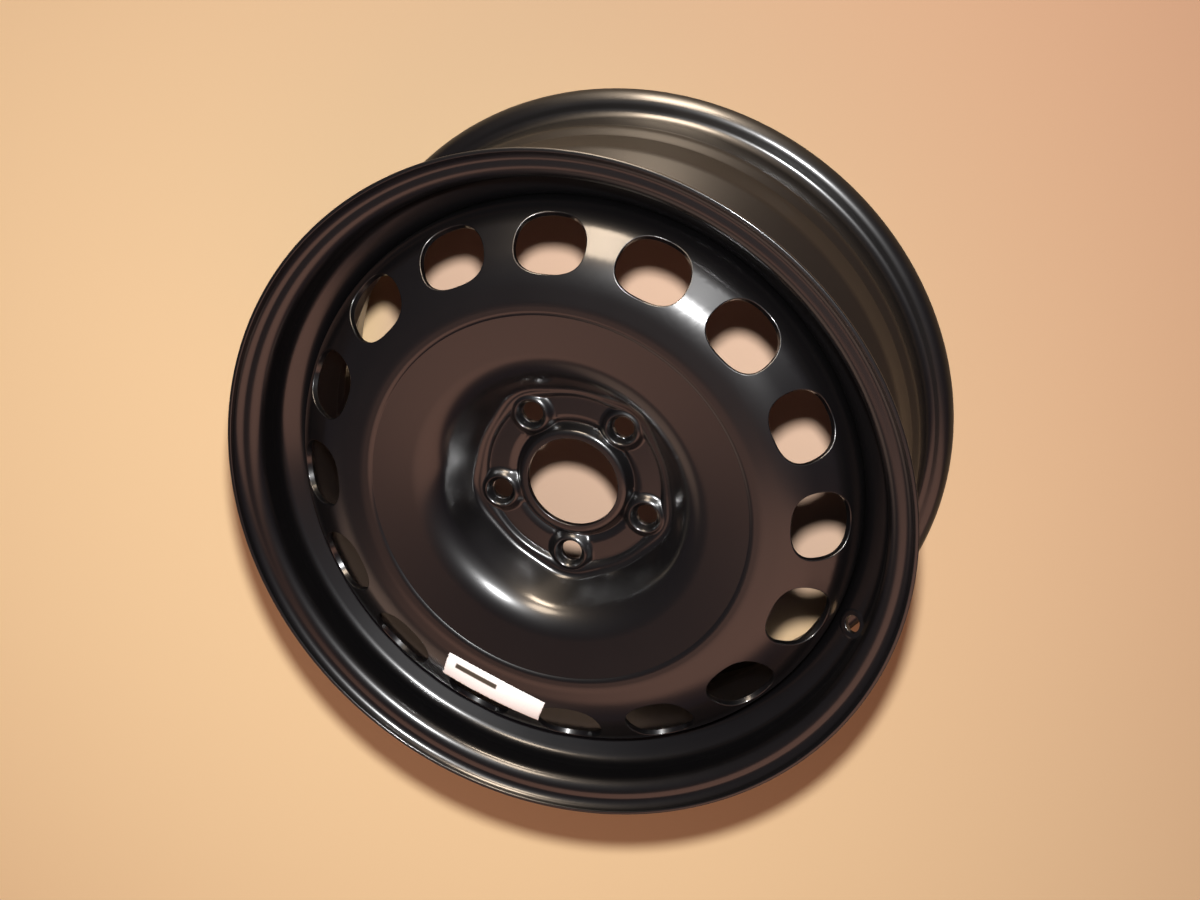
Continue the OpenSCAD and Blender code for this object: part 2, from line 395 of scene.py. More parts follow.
def place_piece(
    mesh: bpy.types.Mesh, nodes: Sequence[str], material: bpy.types.Material
) -> bpy.types.Object:
    """Puts a finished mesh into the scene as a piece that stands for CAD nodes.

    Args:
        mesh: The piece's mesh, already in place.
        nodes: CAD nodes that the piece replaces.
        material: The piece's finish.

    Returns:
        The piece's object.
    """
    piece = bpy.data.objects.new(mesh.name, mesh)
    bpy.context.scene.collection.objects.link(piece)
    mesh.materials.append(material)
    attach(piece, BODY)
    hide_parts(*nodes)
    mesh.calc_loop_triangles()
    log.info("%s: %d triangles for %s", piece.name, len(mesh.loop_triangles), ", ".join(nodes))
    return piece


@dataclass
class RolledRim(Sheet):
    """The rolled rim: two flanges, bead seats with humps, the drop centre and the valve hole."""

    thickness: float = 2.8
    front_wall_z: float = 39.55
    rear_wall_z: float = -125.55
    seat_r: float = 216.9
    flange_h: float = 17.49
    lip_l: float = 9.7
    lip_bend: float = 8.1
    heel_bend: float = 7.9
    seat_l: float = 20.0
    front_seat_l: float = 14.5
    seat_fall: float = 1.75
    hump_h: float = 0.9
    hump_l: float = 4.2
    hump_bend: float = 4.5
    rear_hump_bend: float = 8.0
    wall_bend: float = 10.2
    well_depth: float = 20.5
    well_slope: float = 60.0
    well_bend: float = 12.0
    ramp_h: float = 11.6
    ramp_l: float = 22.0
    ramp_bend: float = 14.0
    ledge_h: float = 3.0
    ledge_l: float = 20.0
    rise_l: float = 8.6
    lip_edge: float = 0.9
    lip_start: float = 1.0
    valve_r: float = 208.2
    valve_hole: float = 5.7
    valve_edge: float = 0.8
    valve_pad: float = 9.0
    valve_pad_foot: float = 10.8
    valve_pad_h: float = 0.4
    valve_reach: float = 15.0
    wall_drop: float = 12.0
    columns: int = 240
    valve_columns: int = 4
    front_rows: int = 34
    valve_rows: int = 18
    rear_rows: int = 96
    pad_rings: int = 4
    foot_rings: int = 8
    foot_band: Span = (9.3, 11.4)
    outer_rings: int = 8
    valve_s: float = field(init=False)
    valve_centre: Array = field(init=False)
    valve_axis: Array = field(init=False)

    def __post_init__(self) -> None:
        """Lays the section and finds the valve hole on the wall that falls from the front hump."""
        self.section = Section.through(self.corners(), self.thickness)
        below = self.front_hump_z - self.section.z
        falling = (below > 0.0) & (below < self.wall_drop)
        r, length = self.section.r[falling], self.section.length[falling]
        order = np.argsort(r)
        self.valve_s = float(np.interp(self.valve_r, r[order], length[order]))
        here = np.array(self.valve_s)
        self.valve_centre = self.point_bare(here, np.array(0.0), 0.0)
        self.valve_axis = unit(self.point_bare(here, np.array(0.0), 1.0) - self.valve_centre)

    @property
    def front_hump_z(self) -> float:
        """Height of the front hump."""
        return self.front_wall_z - self.seat_l - self.hump_l

    def corners(self) -> list[Corner]:
        """Corners of the rolled strip from the front lip to the rear lip.

        Returns:
            The corners at the middle of the sheet.
        """
        half = self.thickness / 2.0
        lip_r = self.seat_r + self.flange_h
        seat_end_r = self.seat_r - self.seat_fall
        hump_r = seat_end_r + self.hump_h
        well_r = self.seat_r - self.well_depth
        front, rear = self.front_wall_z, self.rear_wall_z
        well_z = self.front_hump_z - (hump_r - well_r) / math.tan(math.radians(self.well_slope))
        rear_hump_z = rear + self.seat_l + self.hump_l
        ledge_z = rear_hump_z + self.rise_l
        ramp_z = ledge_z + self.ledge_l
        return [
            Corner(lip_r, front + self.lip_l),
            Corner(lip_r, front + half, self.lip_bend),
            Corner(self.seat_r, front + half, self.heel_bend),
            Corner(seat_end_r, front - self.front_seat_l, self.hump_bend),
            Corner(hump_r, self.front_hump_z, self.wall_bend),
            Corner(well_r, well_z, self.well_bend),
            Corner(well_r, ramp_z + self.ramp_l, self.ramp_bend),
            Corner(well_r + self.ramp_h, ramp_z, self.ramp_bend),
            Corner(well_r + self.ramp_h + self.ledge_h, ledge_z, self.hump_bend),
            Corner(hump_r, rear_hump_z, self.rear_hump_bend),
            Corner(seat_end_r, rear + self.seat_l, self.hump_bend),
            Corner(self.seat_r, rear - half, self.heel_bend),
            Corner(lip_r, rear - half, self.lip_bend),
            Corner(lip_r, rear - self.lip_l),
        ]

    def point_bare(self, s: Array, a: Array, side: float) -> Array:
        """Points of a face without the flattened ring of the valve hole."""
        return Sheet.point(self, s, a, side)

    def point(self, s: Array, a: Array, side: float) -> Array:
        """Points of a face, pressed flat around the valve hole.

        Within the ring, a point moves along the hole's axis onto a plane just proud of the sheet, and the
        push fades out over the ring's foot.

        Args:
            s: Lengths along the section.
            a: Angles round the axis.
            side: Sign of the face, or 0 for the middle of the sheet.

        Returns:
            Points on the face.
        """
        points = self.point_bare(s, a, side)
        offset = points - self.valve_centre
        height = np.sum(offset * self.valve_axis, axis=-1)
        away = np.linalg.norm(offset - height[..., None] * self.valve_axis, axis=-1)
        target = side * (self.thickness / 2.0 + self.valve_pad_h)
        push = (target - height) * (1.0 - smooth_step(self.valve_pad, self.valve_pad_foot, away))
        # The far side of the wheel can lie on the hole's axis too, and stays as it is
        near = np.linalg.norm(offset, axis=-1) < 2.0 * self.valve_reach
        return points + np.where(near, push, 0.0)[..., None] * self.valve_axis

    def round_valve(self, radius: float, bearing: Array) -> tuple[Array, Array]:
        """A circle round the valve hole, as lengths and angles.

        Args:
            radius: Radius of the circle.
            bearing: Angles round the hole.

        Returns:
            Lengths along the section and angles round the wheel.
        """
        s = self.valve_s + radius * np.sin(bearing)
        r, _ = self.section.at(s, 0.0)
        return s, radius * np.cos(bearing) / r

    def build(self) -> bpy.types.Mesh:
        """Builds the rim's skin: a lathe surface with a ring grid around the valve hole.

        Returns:
            The rim's mesh.
        """
        pitch = FULL_TURN / self.columns
        angles = (np.arange(self.columns + 1) + 0.5) * pitch
        side_angles = angles[self.valve_columns : self.columns - self.valve_columns]
        near_angles = (np.arange(2 * self.valve_columns + 2) - self.valve_columns - 0.5) * pitch
        last = float(self.section.length[-1])
        before, after = self.valve_s - self.valve_reach, self.valve_s + self.valve_reach
        front = self.section.rows(self.lip_start, before, self.front_rows)
        middle = self.section.rows(before, after, self.valve_rows)
        rear = self.section.rows(after, last - self.lip_start, self.rear_rows)
        self.add_faces(front[:, None], angles[None, :])
        self.add_faces(middle[:, None], side_angles[None, :])
        self.add_faces(rear[:, None], angles[None, :])
        self.add_rim_edge(self.lip_start, -STEP_ALONG, angles, self.lip_edge)
        self.add_rim_edge(last - self.lip_start, STEP_ALONG, angles, self.lip_edge)
        self.add_valve(middle, near_angles)
        return weld_mesh("rim_rolled", self.shell)

    def dress(self, paint: bpy.types.Material) -> bpy.types.Object:
        """Puts the painted rim into the scene."""
        return place_piece(self.build(), ["rim"], paint)

    def add_valve(self, rows: Array, angles: Array) -> None:
        """Adds the ring grid and the cut edge of the valve hole.

        Circles round the hole come first, and then rings that go over to the rectangle of the lathe grid.

        Args:
            rows: Lengths of the rectangle's rows.
            angles: Angles of the rectangle's columns.
        """
        s_out, a_out = frame_ring(rows, angles)
        r_out, _ = self.section.at(s_out, 0.0)
        bearing = np.arctan2(s_out - self.valve_s, a_out * r_out)
        open_r = self.valve_hole + self.valve_edge
        pad = np.linspace(open_r, self.valve_pad, self.pad_rings)
        radii = np.concatenate([pad, np.linspace(*self.foot_band, self.foot_rings)])
        s_in, a_in = self.round_valve(radii[:, None], bearing[None, :])
        share = np.linspace(0.0, 1.0, self.outer_rings)[1:, None]
        s_grid = np.vstack([s_in, s_in[-1] + (s_out - s_in[-1]) * share])
        a_grid = np.vstack([a_in, a_in[-1] + (a_out - a_in[-1]) * share])
        self.add_faces(s_grid, a_grid)
        faces = [self.patch(s_in[0], a_in[0], side.value) for side in Side]
        toward = self.valve_centre - self.point(s_in[0], a_in[0], 0.0)
        self.add_edge(faces[0], faces[1], unit(toward), self.valve_edge)


@dataclass
class PressedDisc(Sheet):
    """The pressed disc: hub with bolt seats, bowl, crown, vented ring and skirt."""

    thickness: float = 4.2
    bore_r: float = 31.7
    collar_w: float = 4.2
    collar_run: float = 4.6
    collar_h: float = 5.0
    valley: Span = (37.0, 46.0)
    valley_depth: float = 1.5
    bolt_r: float = 54.0
    bolts: int = 5
    bolt_hole: float = 7.25
    cone_mouth: float = 10.3
    cone_angle: float = 30.0
    boss_top: float = 11.6
    boss_foot: float = 15.6
    boss_h: float = 4.0
    boss_near: float = 6.0
    cone_blend: float = 1.6
    flank_blend: float = 1.4
    groove: Span = (10.25, 14.25)
    groove_edge: float = 0.5
    groove_h: float = 2.4
    ring_w: float = 7.5
    ledge_run: float = 3.0
    ledge_h: float = 3.3
    ledge_w: float = 6.0
    corner_swell: float = 2.3
    corner_point: float = 0.6
    swell_rise: Span = (58.0, 68.0)
    swell_fall: Span = (71.0, 86.0)
    hub_bend: float = 2.6
    foot_bend: float = 7.0
    bowl_r: float = 90.0
    bowl_bend: float = 25.5
    dish_slope: float = 6.5
    crown_r: float = 137.8
    crown_z: float = 44.75
    crown_bend: float = 24.0
    step_r: float = 130.4
    step_l: float = 1.2
    step_h: float = 0.95
    step_bend: float = 2.6
    brow_h: float = 0.36
    shoulder_r: float = 159.5
    shoulder_slope: float = 6.0
    shoulder_bend: float = 55.0
    skirt_r: float = 192.9
    vent_slope: float = 33.0
    skirt_bend: float = 25.0
    skirt_end_z: float = -28.923
    vents: int = 16
    vent_r: float = 172.8
    vent_w: float = 46.5
    vent_l: float = 39.0
    vent_power: float = 2.35
    vent_reach: float = 25.0
    cut_edge: float = 0.7
    columns: int = 240
    seat_columns: int = 13
    seat_band: Span = (34.0, 75.0)
    collar_rows: int = 3
    seat_rows: int = 34
    bowl_rows: int = 46
    vent_rows: int = 16
    skirt_rows: int = 12
    # Circles of the grid round a bolt: first radius, last radius and number, the first ones from the hole
    front_circles: tuple[tuple[float, float, int], ...] = ((0.0, 10.0, 4), (10.5, 13.0, 8), (13.5, 17.0, 7))
    back_circles: tuple[tuple[float, float, int], ...] = ((0.0, 9.5, 2), (9.8, 10.8, 4), (13.7, 14.8, 4))
    seat_rings: int = 9
    vent_rings: int = 10
    vent_crowd: float = 1.2
    vent_s: float = field(init=False)
    pitch: float = field(init=False)

    def __post_init__(self) -> None:
        """Lays the section and finds the vents' middle on it."""
        self.section = Section.through(self.corners(), self.thickness)
        self.vent_s = self.section.where(self.vent_r)
        self.pitch = FULL_TURN / self.columns

    def corners(self) -> list[Corner]:
        """Corners of the pressed sheet from the bore to the skirt's edge.

        Returns:
            The corners at the middle of the sheet.
        """
        ring_z = self.thickness / 2.0
        ledge_z = ring_z + self.ledge_h
        collar_r = self.bore_r + self.collar_w
        ring_r = self.bolt_r + self.ring_w
        ledge_r = ring_r + self.ledge_run
        brow_z = self.crown_z - self.brow_h
        step_z = brow_z - self.step_h
        bowl_z = step_z - (self.step_r - self.bowl_r) * math.tan(math.radians(self.dish_slope))
        fall = math.tan(math.radians(self.shoulder_slope))
        shoulder_z = self.crown_z - (self.shoulder_r - self.crown_r) * fall
        skirt_z = shoulder_z - (self.skirt_r - self.shoulder_r) * math.tan(math.radians(self.vent_slope))
        return [
            Corner(self.bore_r, ring_z + self.collar_h),
            Corner(collar_r, ring_z + self.collar_h, self.hub_bend),
            Corner(collar_r + self.collar_run, ring_z, self.hub_bend),
            Corner(ring_r, ring_z, self.hub_bend),
            Corner(ledge_r, ledge_z, self.hub_bend),
            Corner(ledge_r + self.ledge_w, ledge_z, self.foot_bend),
            Corner(self.bowl_r, bowl_z, self.bowl_bend),
            Corner(self.step_r, step_z, self.step_bend),
            Corner(self.step_r + self.step_l, brow_z, self.step_bend),
            Corner(self.crown_r, self.crown_z, self.crown_bend),
            Corner(self.shoulder_r, shoulder_z, self.shoulder_bend),
            Corner(self.skirt_r, skirt_z, self.skirt_bend),
            Corner(self.skirt_r, self.skirt_end_z),
        ]

    def swell(self, r: Array, a: Array) -> Array:
        """Outward push that makes the hub's outline five-cornered.

        A cosine with one wave per bolt, its crest at the bolt and sharpened by a second wave, weighted by
        a soft band of radii from the bolt ring to the bowl's mouth.

        Args:
            r: Radii.
            a: Angles round the axis.

        Returns:
            The push in millimetres.
        """
        waves = self.corner_swell * np.cos(self.bolts * a) + self.corner_point * np.cos(2 * self.bolts * a)
        return waves * smooth_step(*self.swell_rise, r) * (1.0 - smooth_step(*self.swell_fall, r))

    def bolt_gap(self, r: Array, a: Array) -> Array:
        """Distance from the axis of the nearest bolt.

        Args:
            r: Radii.
            a: Angles round the axis.

        Returns:
            Distances in millimetres.
        """
        sector = FULL_TURN / self.bolts
        turned = (a + sector / 2.0) % sector - sector / 2.0
        return np.hypot(r * np.cos(turned) - self.bolt_r, r * np.sin(turned))

    def bolt_seat(self, gap: Array, z: Array) -> Array:
        """Front height near a bolt: a boss with a conical seat, blended into the sheet around it.

        The boss is the lowest of the cone, its flat rim and its flank, and outside the rim the higher of
        boss and sheet counts.

        Args:
            gap: Distance from the bolt's axis.
            z: Height of the sheet's front.

        Returns:
            The height with the boss.
        """
        top = self.thickness + self.boss_h
        cone = top + (gap - self.cone_mouth) / math.tan(math.radians(self.cone_angle))
        flank = top - (gap - self.boss_top) * self.boss_h / (self.boss_foot - self.boss_top)
        seat = soft_min(cone, np.full_like(gap, top), self.cone_blend)
        boss = soft_min(seat, flank, self.flank_blend)
        outside = smooth_step(self.cone_mouth, self.boss_top, gap)
        return boss + (soft_max(z, boss, self.flank_blend) - boss) * outside

    def groove_back(self, gap: Array) -> Array:
        """Depth of the ring groove behind a bolt's seat, a soft step up and a soft step down.

        Args:
            gap: Distance from the bolt's axis.

        Returns:
            Depths in millimetres.
        """
        (start, end), edge = self.groove, self.groove_edge
        rise = smooth_step(start - edge, start + edge, gap)
        return self.groove_h * rise * (1.0 - smooth_step(end - edge, end + edge, gap))

    def point(self, s: Array, a: Array, side: float) -> Array:
        """Points of a face: the turned section, swollen to the five-cornered hub, with the bolt seats.

        The swell is a push of the final radius, so that radius is found by repeated substitution.

        Args:
            s: Lengths along the section.
            a: Angles round the axis.
            side: Sign of the face, or 0 for the middle of the sheet.

        Returns:
            Points on the face.
        """
        s, a = np.broadcast_arrays(s, a)
        bare, z = self.section.at(s, side)
        r = bare
        for _ in range(SWELL_ROUNDS):
            r = bare + self.swell(r, a)
        gap = self.bolt_gap(r, a)
        near = gap < self.boss_foot + self.boss_near
        if side > 0:
            low, high = self.valley
            turn = np.clip((r - low) / (high - low), 0.0, 1.0) * FULL_TURN
            z = z - self.valley_depth * (1.0 - np.cos(turn)) / 2.0
            z = np.where(near, self.bolt_seat(gap, z), z)
        elif side < 0:
            z = np.where(near, z + self.groove_back(gap), z)
        return polar(r, a, z)

    def under(self, x: Array, y: Array, side: float) -> tuple[Array, Array]:
        """Length and angle of the hub's point that lies at a place in plan.

        Args:
            x: Places along X.
            y: Places along Y.
            side: Sign of the face.

        Returns:
            Lengths along the section and angles round the axis.
        """
        r, a = np.hypot(x, y), np.arctan2(y, x)
        face_r, _ = self.section.at(self.section.length, side)
        inner = self.section.length < self.section.where(self.step_r)
        s = np.interp(r - self.swell(r, a), face_r[inner], self.section.length[inner])
        return s, a

    def build(self) -> bpy.types.Mesh:
        """Builds the disc's skin: lathe grids, with ring grids around the bolts and the vents.

        Returns:
            The disc's mesh.
        """
        angles = (np.arange(self.columns + 1) + 0.5) * self.pitch
        last = float(self.section.length[-1])
        seat_in, seat_out = (self.section.where(r) for r in self.seat_band)
        vent_in, vent_out = self.vent_s - self.vent_reach, self.vent_s + self.vent_reach
        seat_rows = self.section.rows(seat_in, seat_out, self.seat_rows)
        vent_rows = np.linspace(vent_in, vent_out, self.vent_rows + 1)
        for start, end, count in (
            (self.cut_edge, seat_in, self.collar_rows),
            (seat_out, vent_in, self.bowl_rows),
            (vent_out, last - self.cut_edge, self.skirt_rows),
        ):
            self.add_faces(self.section.rows(start, end, count)[:, None], angles[None, :])
        for bolt in range(self.bolts):
            self.add_bolt(bolt, seat_rows)
        for vent in range(self.vents):
            self.add_vent(vent, vent_rows)
        self.add_rim_edge(self.cut_edge, -STEP_ALONG, angles, self.cut_edge)
        self.add_rim_edge(last - self.cut_edge, STEP_ALONG, angles, self.cut_edge)
        return weld_mesh("disc_pressed", self.shell)

    def dress(self, paint: bpy.types.Material) -> bpy.types.Object:
        """Puts the painted disc into the scene."""
        return place_piece(self.build(), ["disc"], paint)

    def add_bolt(self, bolt: int, rows: Array) -> None:
        """Adds one bolt's sector: the ring grid round its seat and the lathe grid up to the next bolt.

        Args:
            bolt: Number of the bolt.
            rows: Lengths of the sector's rows.
        """
        sector = self.columns // self.bolts
        middle = bolt * sector * self.pitch
        reach = self.seat_columns
        near = middle + (np.arange(2 * reach + 2) - reach - 0.5) * self.pitch
        between = middle + (np.arange(reach, sector - reach) + 0.5) * self.pitch
        self.add_faces(rows[:, None], between[None, :])
        centre = self.bolt_r * np.array([math.cos(middle), math.sin(middle)])
        s_out, a_out = frame_ring(rows, near)
        open_r = self.bolt_hole + self.cut_edge / 2.0
        circles = {Side.LEFT: self.front_circles, Side.RIGHT: self.back_circles}
        edge_rows = []
        for side in Side:
            rim = self.point(s_out, a_out, side.value)
            bearing = np.arctan2(rim[:, 1] - centre[1], rim[:, 0] - centre[0])
            bands = [np.linspace(max(first, open_r), last, count) for first, last, count in circles[side]]
            radii = np.concatenate(bands)
            spokes = np.stack([np.cos(bearing), np.sin(bearing)], axis=-1)
            inner = centre + radii[:, None, None] * spokes
            share = np.linspace(0.0, 1.0, self.seat_rings)[1:-1, None, None]
            plan = np.concatenate([inner, inner[-1] + (rim[:, :2] - inner[-1]) * share])
            s, a = self.under(plan[..., 0], plan[..., 1], side.value)
            a = a_out + (a - a_out + math.pi) % FULL_TURN - math.pi
            grid = self.patch(np.vstack([s, s_out]), np.vstack([a, a_out]), side.value)
            self.shell.append(grid)
            edge_rows.append(Patch(grid.points[0], grid.normals[0]))
        toward = np.concatenate([-spokes, np.zeros((len(bearing), 1))], axis=-1)
        self.add_edge(edge_rows[0], edge_rows[1], toward, self.cut_edge / 2.0)

    def add_vent(self, vent: int, rows: Array) -> None:
        """Adds one vent's sector: a ring grid from the vent's outline to the sector's border.

        The outline is a superellipse in the unrolled sheet: |u / half length|^p + |v / half width|^p = 1,
        with u along the slope and v round the axis.

        Args:
            vent: Number of the vent.
            rows: Lengths of the sector's rows.
        """
        sector = self.columns // self.vents
        middle = vent * sector * self.pitch
        angles = (np.arange(sector + 1) - sector / 2.0) * self.pitch
        s_out, a_out = frame_ring(rows, angles)
        r_out, _ = self.section.at(s_out, 0.0)
        u_out, v_out = s_out - self.vent_s, a_out * r_out
        bearing = np.arctan2(u_out, v_out)

        def outline(grow: float) -> tuple[Array, Array]:
            """The vent's outline, grown outwards.

            Args:
                grow: How far the outline lies outside the vent.

            Returns:
                u and v at each bearing.
            """
            across = np.abs(np.cos(bearing) / (self.vent_w / 2.0 + grow)) ** self.vent_power
            along = np.abs(np.sin(bearing) / (self.vent_l / 2.0 + grow)) ** self.vent_power
            reach = (across + along) ** (-1.0 / self.vent_power)
            return reach * np.sin(bearing), reach * np.cos(bearing)

        def unrolled(u: Array, v: Array) -> tuple[Array, Array]:
            """Places of the unrolled sheet, rolled up again.

            Args:
                u: Places along the slope.
                v: Places round the axis.

            Returns:
                Lengths along the section and angles round the axis.
            """
            s = self.vent_s + u
            r, _ = self.section.at(s, 0.0)
            return s, middle + v / r

        u_in, v_in = outline(self.cut_edge)
        share = np.linspace(0.0, 1.0, self.vent_rings)[:, None] ** self.vent_crowd
        s, a = unrolled(u_in + (u_out - u_in) * share, v_in + (v_out - v_in) * share)
        self.add_faces(s, a)
        faces = [self.patch(s[0], a[0], side.value) for side in Side]
        toward = self.point(*unrolled(*outline(0.0)), 0.0) - self.point(s[0], a[0], 0.0)
        self.add_edge(faces[0], faces[1], unit(toward), self.cut_edge)


@dataclass
class WeldBeads:
    """The fillet welds in the corner between the skirt's edge and the well."""

    corner_r: float = 195.0
    corner_z: float = -28.923
    leg: float = 4.0
    beads: int = 8
    sweep: float = 26.0
    ripples: int = 34
    ripple_h: float = 0.05
    ripple_lean: float = 0.9
    swell: float = 0.97
    end_power: int = 8
    end_size: float = 0.0004
    stations: int = 201
    rows: int = 11

    def build(self) -> bpy.types.Mesh:
        """Builds the beads: a quarter circle carried round the corner, with ripples and tapered ends.

        The bead's reach is the leg times a taper, the square root of 1 - t^power along the bead, times a
        wave that leans along the bead as welded ripples do.

        Returns:
            The beads' mesh.
        """
        along = np.linspace(-1.0, 1.0, self.stations)[:, None]
        across = np.linspace(0.0, math.pi / 2.0, self.rows)[None, :]
        half = math.radians(self.sweep) / 2.0
        taper = np.sqrt(np.clip(1.0 - along**self.end_power, self.end_size, 1.0))
        bow = np.sin(2.0 * across)
        wave = np.abs(np.sin(math.pi * self.ripples * along / 2.0 + self.ripple_lean * bow))
        reach = self.leg * self.swell * taper * (1.0 - self.ripple_h * bow * wave)
        r, z = self.corner_r - reach * np.cos(across), self.corner_z - reach * np.sin(across)
        patches = []
        for bead in range(self.beads):
            start = bead * FULL_TURN / self.beads
            angle = np.broadcast_to(start + half + half * along, reach.shape)
            face = polar(r, angle, z)
            heel = polar(np.full_like(angle[:, :1], self.corner_r), angle[:, :1], self.corner_z)
            patches.append(grid_patch(face))
            patches.append(grid_patch(np.concatenate([heel, face[:, :1]], axis=1)[:, ::-1]))
            patches.append(grid_patch(np.concatenate([face[:, -1:], heel], axis=1)[:, ::-1]))
        return weld_mesh("weld_beads_rippled", patches)

    def dress(self, paint: bpy.types.Material) -> bpy.types.Object:
        """Puts the painted beads into the scene."""
        return place_piece(self.build(), ["weld_beads"], paint)


def grid_patch(points: Array) -> Patch:
    """A patch whose normals come from the differences along its own grid.

    Args:
        points: Grid of points, rows by columns.

    Returns:
        The patch, with normals along rows crossed with columns.
    """
    down = np.gradient(points, axis=0)
    right = np.gradient(points, axis=1)
    return Patch(points, unit(np.cross(right, down) + TINY))


@dataclass
class PaperLabel:
    """The paper label that lies on the crown and bridges one vent."""

    disc: PressedDisc
    middle_r: float = 157.0
    middle_a: float = 273.0
    length: float = 75.0
    height: float = 24.0
    turn: float = -4.5
    lift: float = 0.04
    thickness: float = 0.26
    crown_margin: float = 20.0
    rows: int = 26
    columns: int = 76

    def build(self) -> bpy.types.Mesh:
        """Builds the label: a rectangle laid on the disc's front.

        A grid over the label's own axes is turned, moved to its place and lifted onto the sheet. The
        underside lies one paper thickness lower, and a narrow border joins the two.

        Returns:
            The label's mesh, with a UV map over the sheet of paper.
        """
        lines = [np.linspace(-0.5, 0.5, count) for count in (self.rows, self.columns)]
        u, v = np.meshgrid(*lines, indexing="ij")
        top = self.lay(u, v, self.lift + self.thickness)
        under = self.lay(u, v, self.lift)
        border = [
            np.stack([top[0], under[0]]),
            np.stack([under[-1], top[-1]]),
            np.stack([under[:, 0], top[:, 0]]),
            np.stack([top[:, -1], under[:, -1]]),
        ]
        patches = [grid_patch(top), Patch(under, -grid_patch(under).normals)]
        if patches[0].normals[..., 2].mean() < 0.0:
            patches = [Patch(patch.points, -patch.normals) for patch in patches]
        centre = top.mean(axis=(0, 1))
        for strip in border:
            patch = grid_patch(strip)
            outward = np.sum(patch.normals * (strip - centre), axis=-1, keepdims=True)
            patches.append(Patch(strip, patch.normals * np.sign(outward)))
        mesh = weld_mesh("label_paper", patches)
        self.map_paper(mesh)
        return mesh

    def dress(self, paper: bpy.types.Material) -> bpy.types.Object:
        """Puts the printed label into the scene."""
        return place_piece(self.build(), ["label"], paper)

    def lay(self, u: Array, v: Array, lift: float) -> Array:
        """Places of the label's grid on the disc.

        Args:
            u: Places across the label, from -0.5 at the wheel's middle.
            v: Places along the label.
            lift: Height above the disc's front.

        Returns:
            Points of the label.
        """
        turn, place = math.radians(self.turn), math.radians(self.middle_a)
        x, y = u * self.height, v * self.length
        out = self.middle_r + x * math.cos(turn) - y * math.sin(turn)
        along = x * math.sin(turn) + y * math.cos(turn)
        r, a = np.hypot(out, along), place + np.arctan2(along, out)
        face_r, face_z = self.disc.section.at(self.disc.section.length, 1.0)
        outer = (face_r > self.disc.crown_r - self.crown_margin) & (face_z > 0.0)
        return polar(r, a, np.interp(r, face_r[outer], face_z[outer]) + lift)

    def map_paper(self, mesh: bpy.types.Mesh) -> None:
        """Adds a UV map: the label's own axes, from 0 to 1 along and across.

        Args:
            mesh: The label's mesh.
        """
        flat = np.empty(len(mesh.vertices) * 3, np.float32)
        mesh.vertices.foreach_get("co", flat)
        places = flat.reshape(-1, 3)[:, :2] / MM
        place = math.radians(self.middle_a)
        out = places @ np.array([math.cos(place), math.sin(place)]) - self.middle_r
        along = places @ np.array([-math.sin(place), math.cos(place)])
        turn = math.radians(self.turn)
        u = 0.5 + (along * math.cos(turn) - out * math.sin(turn)) / self.length
        v = 0.5 - (out * math.cos(turn) + along * math.sin(turn)) / self.height
        corners = np.empty(len(mesh.loops), np.int32)
        mesh.loops.foreach_get("vertex_index", corners)
        layer = mesh.uv_layers.new(name="paper")
        layer.data.foreach_set("uv", np.stack([u, v], axis=-1)[corners].astype(np.float32).ravel())


